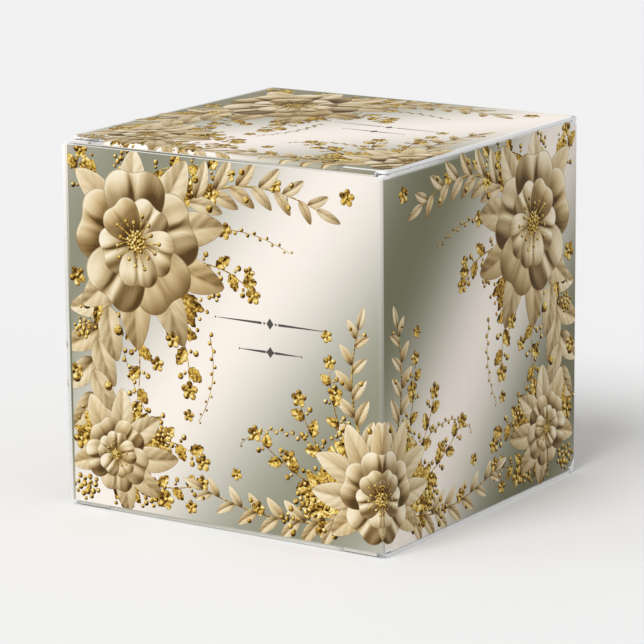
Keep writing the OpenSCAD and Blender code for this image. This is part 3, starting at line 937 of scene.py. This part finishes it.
def corner_garden(with_rule):
    """The printed design of one face.

    A large rosette stands at its upper left and a smaller one on the fold at its lower right, with a third in
    the lower left corner and sprays of laurel and gold along its edges.
    """
    d = Drawing()
    fold = SIDE - FOLD_R + HALF_ARC
    for row in (
        ((9.2, 31.5), (3.0, 23.0), (5.2, 13.0), 4, 7.6, 6.2, 0.25),
        ((20.0, 43.4), (29.0, 49.8), (41.0, 45.0), 6, 5.4, 3.4),
        ((45.8, 4.9), (36.0, 1.1), (22.6, 5.4), 7, 4.8, 3.0),
        ((48.6, 13.0), (44.6, 21.0), (47.2, 30.0), 5, 4.4, 2.8),
    ):
        laurel(d, *row)
    for row in (
        ((16.5, 30.0), (21.0, 26.0), (20.6, 18.6), 4, 3.3),
        ((21.0, 36.0), (27.6, 36.6), (31.0, 32.6), 4, 2.9),
        ((14.0, 46.6), (19.8, 50.2), (27.4, 48.4), 4, 2.7),
        ((4.8, 43.0), (1.6, 46.4), (3.4, 49.4), 2, 2.8),
        ((11.6, 28.6), (13.4, 21.6), (11.6, 14.8), 4, 3.0),
        ((44.6, 10.6), (39.6, 13.4), (38.0, 19.8), 4, 2.9),
        ((46.4, 13.2), (42.6, 18.2), (42.8, 25.2), 4, 2.4),
        ((43.8, 7.4), (36.6, 9.0), (31.0, 14.2), 5, 2.8),
        ((12.0, 10.6), (18.0, 12.4), (22.6, 9.0), 4, 3.0),
        ((11.0, 5.6), (17.0, 3.6), (22.4, 6.2), 4, 2.6),
    ):
        sprig(d, *row)
    for row in (
        ((21.0, 40.2), (29.6, 42.4), (37.0, 38.8), 17, 0.40, 0.16),
        ((8.8, 27.5), (10.8, 15.5), (17.6, 10.0), 20, 0.42, 0.17),
        ((43.6, 11.8), (34.4, 18.0), (28.6, 12.4), 19, 0.38, 0.16),
        ((24.0, 26.6), (25.6, 20.0), (22.0, 14.6), 13, 0.32, 0.14),
    ):
        garland(d, *row)
    for row in (
        ((10.4, 9.6), 0.72, 1.7, 7, 7.2, 0.5),
        ((8.6, 5.6), -0.95, 1.5, 6, 5.2, 0.6),
        ((6.0, 9.6), 2.5, 1.3, 5, 5.2, 0.6),
        ((44.6, 6.6), 2.72, 1.7, 8, 6.6, 0.7),
        ((46.8, 11.4), 1.95, 0.8, 4, 5.6, 0.8),
        ((18.2, 31.2), -0.55, 1.1, 5, 5.4, 0.6),
        ((19.6, 43.6), 0.95, 1.0, 4, 5.0, 0.6),
        ((6.2, 29.6), -2.25, 0.9, 4, 4.4, 0.6),
        ((5.6, 45.4), 2.2, 1.1, 4, 4.2, 0.6),
    ):
        gold_fan(d, *row)
    for row in (
        ((14.6, 3.6), 2.4, 22, 0.42, 1.0),
        ((3.2, 3.0), 2.2, 18, 0.40, 1.1),
        ((15.4, 12.4), 1.7, 14, 0.36, 1.1),
        ((3.0, 25.0), 1.5, 12, 0.36, 1.3),
        ((24.6, 32.6), 1.6, 12, 0.34, 1.0),
        ((10.6, 48.6), 1.9, 14, 0.38, 0.9),
        ((39.6, 5.8), 2.5, 22, 0.42, 1.3),
        ((36.4, 3.0), 1.6, 12, 0.34, 1.2),
        ((45.2, 16.2), 1.7, 14, 0.36, 1.2),
    ):
        berries(d, *row)
    for x, y, r, turn in (
        (24.4, 45.4, 1.5, 0.2), (2.4, 32.2, 1.4, 0.9), (18.0, 25.2, 1.2, 0.4), (26.6, 40.8, 1.2, 1.3),
        (2.6, 9.6, 1.5, 0.6), (16.4, 3.0, 1.4, 0.1), (20.6, 2.6, 1.0, 0.5), (41.8, 2.6, 1.5, 0.8),
        (43.6, 21.2, 1.2, 0.3), (36.4, 11.6, 1.2, 1.0), (34.6, 47.6, 1.1, 0.5), (45.6, 47.0, 1.2, 0.2),
        (42.4, 28.6, 0.9, 0.7), (20.4, 15.2, 0.9, 0.2), (9.6, 11.0, 1.2, 0.4), (31.4, 4.0, 1.1, 0.2),
        (28.0, 8.2, 0.9, 0.9), (15.4, 21.6, 1.1, 0.3), (30.4, 35.6, 0.9, 0.1), (1.9, 19.0, 1.2, 0.7),
    ):
        floret(d, np.array((x, y)), r, turn, 1.6)
    heart = (12.4, 37.8)
    leaf_ring(d, heart, 5.0, (
        (-1.62, 9.6, 2.5), (-1.02, 10.2, 2.5), (-0.36, 9.8, 2.4), (0.28, 9.6, 2.4),
        (0.92, 9.4, 2.3), (1.62, 7.6, 2.2), (2.36, 8.4, 2.1), (3.98, 8.2, 2.2),
    ), 2.0)
    rosette(d, heart, 10.3, 0.35)
    corner = (8.4, 8.2)
    leaf_ring(d, corner, 2.6, (
        (0.02, 7.6, 1.8), (0.72, 6.6, 1.7), (1.40, 6.8, 1.8), (2.10, 6.4, 1.7),
        (-0.62, 6.2, 1.6), (-1.30, 5.4, 1.6), (3.40, 5.2, 1.6),
    ), 2.0)
    rosette(d, corner, 5.4, 0.9)
    on_fold = (fold, 8.0)
    leaf_ring(d, on_fold, 3.4, (
        (math.pi / 2, 7.0, 1.7), (2.12, 7.4, 1.8), (2.66, 7.8, 1.8), (3.2, 7.4, 1.8), (3.74, 6.2, 1.7),
    ), 2.0)
    rosette(d, on_fold, 6.6, math.pi / 2)
    if with_rule:
        ornament(d, (33.6, 29.2), 8.2)
        ornament(d, (33.6, 25.4), 4.6)
    return d


# The flat drawing, cut to a face and wrapped on it
# The flat mesh holds each shape's lift many times over, so that a cut never joins two shapes.
LIFT_SCALE = 100
BEND_SLICES, BEND_STEP = 9, 0.108
CUT_SNAP, SLICE_CLEAR = 1e-5, 1e-4
PRINT_MARGIN, LID_MARGIN, FOLD_MARGIN, STRIP_MARGIN = 0.02, 0.1, 0.03, 0.05


def cut_flat(d, mirrored, bends, width, keep):
    """The drawing as a flat mesh, cut to keep = (a0, a1, b0, b1) and split along the face's bends."""
    bm = bmesh.new()
    paint = bm.verts.layers.float_vector.new("paint")
    run = bm.verts.layers.float_vector.new("run")
    points, layer = np.concatenate(d.points), np.concatenate(d.layer)
    paints, runs = np.concatenate(d.paint), np.concatenate(d.run)
    if mirrored:
        points = points * (-1, 1) + (SIDE, 0)
    verts = []
    for p, h, c, r in zip(points, layer, paints, runs):
        v = bm.verts.new((p[0], p[1], h * LIFT_SCALE))
        v[paint], v[run] = c, r
        verts.append(v)
    for face, ink in zip(d.faces, d.inks):
        f = bm.faces.new([verts[i] for i in (reversed(face) if mirrored else face)])
        f.material_index = ink

    def slice_at(place, axis, clear):
        normal = [0, 0, 0]
        normal[axis] = clear or 1
        point = [0, 0, 0]
        point[axis] = place
        everything = bm.verts[:] + bm.edges[:] + bm.faces[:]
        cut = {"plane_co": point, "plane_no": normal, "clear_outer": bool(clear)}
        bmesh.ops.bisect_plane(bm, geom=everything, dist=CUT_SNAP, **cut)

    a0, a1, b0, b1 = keep
    for place, axis, clear in ((a0, 0, -1), (a1, 0, 1), (b0, 1, -1), (b1, 1, 1)):
        slice_at(place, axis, clear)
    axis = 0 if bends == "a" else 1
    low, high = keep[2 * axis], keep[2 * axis + 1]
    for k in range(BEND_SLICES):
        for place in (FOLD_R - k * BEND_STEP, width - FOLD_R + k * BEND_STEP):
            if low + SLICE_CLEAR < place < high - SLICE_CLEAR:
                slice_at(place, axis, 0)
    return bm


def shifted(d, down):
    """The same drawing, lower on its sheet."""
    moved = copy.copy(d)
    moved.points = [p - (0, down) for p in d.points]
    return moved


def printed_motif(name, d, face, keep, mirrored=False, bulge=None):
    """Builds the drawing's pieces on a face, one for each ink, and returns them."""
    bm = cut_flat(d, mirrored, face.bends, face.width, keep)
    paint, run = bm.verts.layers.float_vector["paint"], bm.verts.layers.float_vector["run"]
    bm.verts.index_update()
    bm.verts.ensure_lookup_table()
    made = []
    for ink in (PETAL, GOLD, CHARCOAL):
        faces = [f for f in bm.faces if f.material_index == ink]
        if not faces:
            continue
        used = sorted({v.index for f in faces for v in f.verts})
        new = {v: i for i, v in enumerate(used)}
        verts = [bm.verts[i] for i in used]
        co = np.array([v.co for v in verts])
        a, b, lift = co[:, 0], co[:, 1], co[:, 2] / LIFT_SCALE
        base = np.zeros_like(b)
        if bulge is not None:
            base = SKIN_LIFT + pressed(np.maximum(b - (face.width - FOLD_R), FOLD_R - b), bulge)
        points = face.point(a, b, base + lift)
        polygons = [tuple(new[v.index] for v in f.verts) for f in faces]
        stored = (("paint", paint), ("run", run))
        attributes = [(key, np.array([v[layer] for v in verts])) for key, layer in stored]
        sunk = face.point(a, b, base - INK_SUNK)
        piece = shell(f"{name}_{INK_NAMES[ink]}", points, sunk, polygons, (INKS[ink],), attributes)
        made.append(piece)
    bm.free()
    return made


def make_motifs():
    """Each face's print is cut along the middle of its folds, so that the pieces of two faces meet there."""
    ends = (FOLD_R - HALF_ARC, SIDE - FOLD_R + HALF_ARC)
    round_the_fold = SIDE - 2 * FOLD_R + 2 * HALF_ARC + LEFT_OVERLAP
    with_rule, plain = corner_garden(True), corner_garden(False)
    low, high = PANEL_LOW + PRINT_MARGIN, PANEL_HIGH - PRINT_MARGIN
    side_low, side_high = TOP - DUST_Z, DUST_Z
    for name, drawing, face, keep, mirrored in (
        ("front", with_rule, FRONT, (LEFT_OVERLAP, ends[1], low, high), False),
        ("right", plain, RIGHT, (*ends, side_low, side_high), True),
        ("back", with_rule, BACK, (*ends, low, high), False),
        ("left", plain, LEFT, (ends[0], round_the_fold, side_low, side_high), True),
    ):
        for piece in printed_motif(name, drawing, face, keep, mirrored):
            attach(piece, "carton")
    for side, face, x in (("left", LEFT_CREASES, -1), ("right", RIGHT_CREASES, 1)):
        drawing = shifted(plain, TOP - CREASE_HIGH)
        top = face.width - FOLD_R
        for end, z, up, strip in (
            ("lid", DUST_Z, 1, (top, top + HALF_ARC)),
            ("base", TOP - DUST_Z, -1, (FOLD_R - HALF_ARC, FOLD_R)),
        ):
            keep = (*dust_ends(x), *strip)
            for piece in printed_motif(f"{side}_{end}_fold", drawing, face, keep, True, DUST_BULGE):
                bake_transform(piece)
    lid = corner_garden(True)
    laurel(lid, (13.0, 4.2), (18.0, 0.4), (27.0, 1.6), 5, 4.6, 3.0)
    gold_fan(lid, (9.6, 4.0), -1.35, 1.9, 7, 4.2, 1.4)
    gold_fan(lid, (19.5, 3.2), -1.3, 1.5, 5, 3.2, 1.4)
    for place, turn, length in (
        ((8.2, 5.2), -2.05, 5.6), ((12.4, 4.6), -0.95, 5.2), ((16.2, 3.9), -1.9, 3.8),
    ):
        leaf(lid, place, turn, length, length * 0.26, 1.9)
    lid = shifted(lid, TUCK_FACE_Y + HALF)
    plate_front, plate_back = LID_PLATE_FRONT - TUCK_FACE_Y, LID_PLATE_BACK - TUCK_FACE_Y
    keep = (LID_MARGIN, SIDE - LID_MARGIN, plate_front + FOLD_MARGIN, plate_back - FOLD_MARGIN)
    for piece in printed_motif("lid", lid, LID, keep):
        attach(piece, "lid")
    middle = (HALF - BEAD_END_X + FOLD_MARGIN, HALF + BEAD_END_X - FOLD_MARGIN)
    fold = (FOLD_R - 2 * HALF_ARC + STRIP_MARGIN, plate_front + FOLD_MARGIN)
    for piece in printed_motif("lid_fold", lid, LID, (*middle, *fold)):
        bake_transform(piece)


make_motifs()


# Floor, light and camera
FLOOR_HALF_M, FLOOR_DROP = 4.0, 0.02


def make_floor():
    s = Shader("plain_floor")
    at = s.place()
    soft = s.noise(at, 0.012, 2.0)
    colour = s.mix(soft, linear(237, 237, 237), linear(239, 239, 239))
    s.finish(colour, s.mul_add(soft, 0.05, 0.9), s.bump(soft, 0.02, 0.05), Specular_IOR_Level=0.0)
    bm = bmesh.new()
    bmesh.ops.create_grid(bm, x_segments=8, y_segments=8, size=FLOOR_HALF_M)
    mesh = bpy.data.meshes.new("floor")
    bm.to_mesh(mesh)
    bm.free()
    mesh.materials.append(s.material)
    floor = bpy.data.objects.new("floor", mesh)
    floor.location = (0, 0, -FLOOR_DROP * MM)
    bpy.context.scene.collection.objects.link(floor)


# The sky and the first two lamps were fitted to the light on the photograph's floor, then changed.
SKY = 0.525
LAMPS = (
    # name, azimuth from +X, elevation and width in degrees, share of the light on the floor
    ("key", 265.0, 50.5, 31.7, 0.450),
    ("left_fill", 218.0, 21.6, 36.0, 0.052),
    ("right_fill", -12.0, 10.0, 44.0, 0.006),
)


def make_light():
    world = bpy.data.worlds.new("studio")
    world.use_nodes = True
    background = world.node_tree.nodes["Background"]
    background.inputs[0].default_value = (1, 1, 1, 1)
    background.inputs[1].default_value = SKY
    bpy.context.scene.world = world
    for name, azimuth, elevation, width, share in LAMPS:
        azimuth, elevation = math.radians(azimuth), math.radians(elevation)
        level = math.cos(elevation)
        towards = Vector((level * math.cos(azimuth), level * math.sin(azimuth), math.sin(elevation)))
        lamp = bpy.data.lights.new(name, "SUN")
        lamp.energy = share * math.pi / math.sin(elevation)
        lamp.angle = math.radians(width)
        sun = bpy.data.objects.new(name, lamp)
        sun.rotation_mode = "QUATERNION"
        sun.rotation_quaternion = towards.to_track_quat("Z", "Y")
        bpy.context.scene.collection.objects.link(sun)


# The camera was fitted to the box's corners and edges in the photograph: angles, millimetres and pixels.
AZIMUTH, ELEVATION, ROLL = math.radians(33.327), math.radians(12.814), math.radians(-0.496)
DISTANCE = 470.25
FOCAL_PIXELS, PICTURE = 3423.8, 644
SENSOR_WIDTH = 36
AIM_RIGHT, AIM_UP = -0.349, -1.785


def make_camera():
    outward = math.cos(ELEVATION)
    back = Vector((math.sin(AZIMUTH) * outward, -math.cos(AZIMUTH) * outward, math.sin(ELEVATION)))
    right = Vector((math.cos(AZIMUTH), math.sin(AZIMUTH), 0))
    up = back.cross(right)
    aim = Vector((0, 0, TOP / 2)) + right * AIM_RIGHT + up * AIM_UP
    eye = (aim + back * DISTANCE) * MM
    level = math.cos(ROLL) * right + math.sin(ROLL) * up
    upright = math.cos(ROLL) * up - math.sin(ROLL) * right
    data = bpy.data.cameras.new("camera")
    data.sensor_width = SENSOR_WIDTH
    data.lens = FOCAL_PIXELS / PICTURE * data.sensor_width
    data.clip_start, data.clip_end = 0.01, 20
    camera = bpy.data.objects.new("camera", data)
    camera.matrix_world = Matrix([*zip(level, upright, back, eye), (0, 0, 0, 1)])
    bpy.context.scene.collection.objects.link(camera)
    bpy.context.scene.camera = camera


make_floor()
make_light()
make_camera()
bpy.context.scene.view_settings.view_transform = "Standard"
